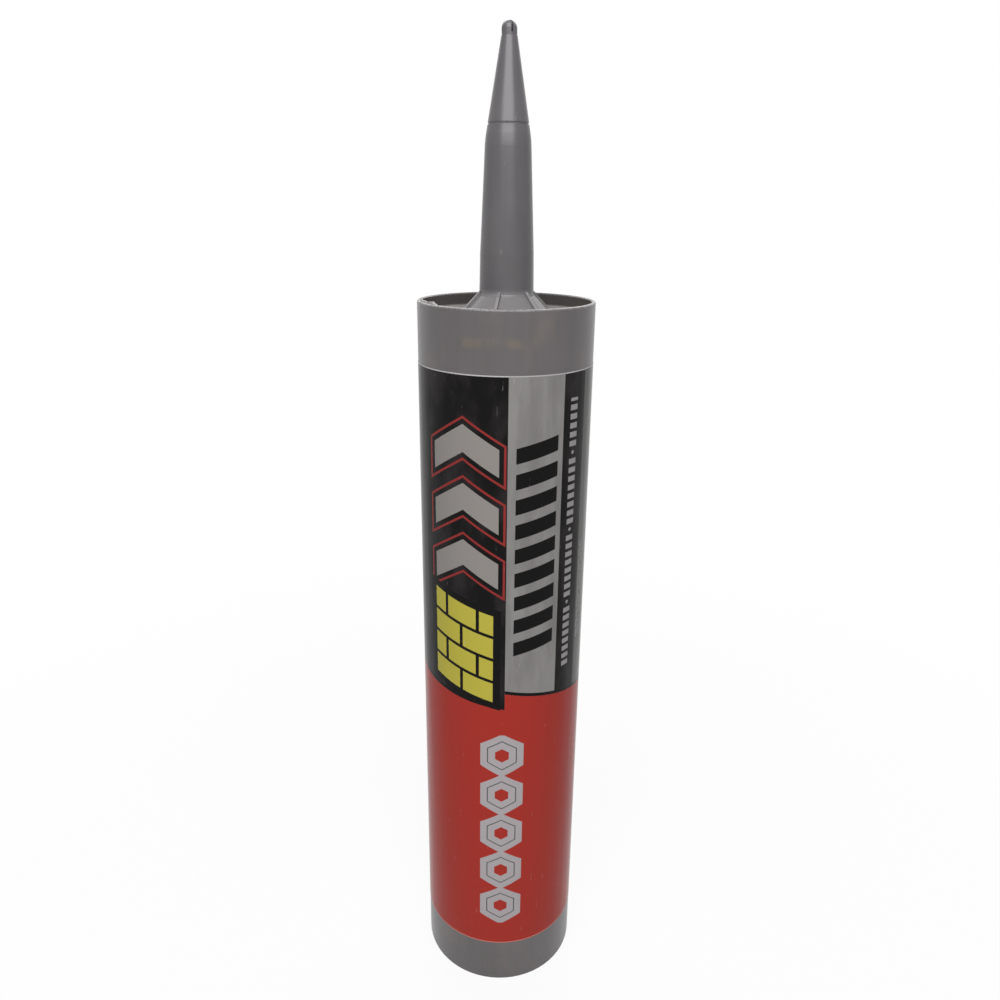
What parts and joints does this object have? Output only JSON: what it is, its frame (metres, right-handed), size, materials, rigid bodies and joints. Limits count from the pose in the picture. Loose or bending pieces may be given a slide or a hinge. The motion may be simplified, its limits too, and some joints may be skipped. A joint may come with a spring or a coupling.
{
  "type": "construction adhesive cartridge",
  "caption": "Full, unopened adhesive cartridge for a caulking gun: straight barrel, sunk head, long closed nozzle, wrapped film label and a sliding plunger.",
  "frame": {"origin": "centre of the rear rim's plane, on the barrel's axis, where the cartridge stands upright", "axes": "+Z along the barrel's axis from the open rear towards the nozzle's tip; -Y towards the printed front; +X to the right of someone who faces the front"},
  "size_m": [0.0502, 0.0503, 0.2933],
  "materials": {
    "grey_polyethylene": "satin",
    "printed_film": "gloss",
    "sealing_foil": "satin",
    "adhesive_paste": "satin",
    "natural_polyethylene": "satin"
  },
  "bodies": {
    "cartridge": {"cartridge_body": "grey_polyethylene", "label": "printed_film", "foil_seal": "sealing_foil", "adhesive": "adhesive_paste"},
    "piston": {"plunger": "natural_polyethylene"}
  },
  "joints": [
    {"name": "plunger_slide", "type": "slide", "parent": "cartridge", "child": "piston", "axis": [0, 0, 1], "range_m": [0, 0.172], "deforming": ["adhesive"]}
  ]
}
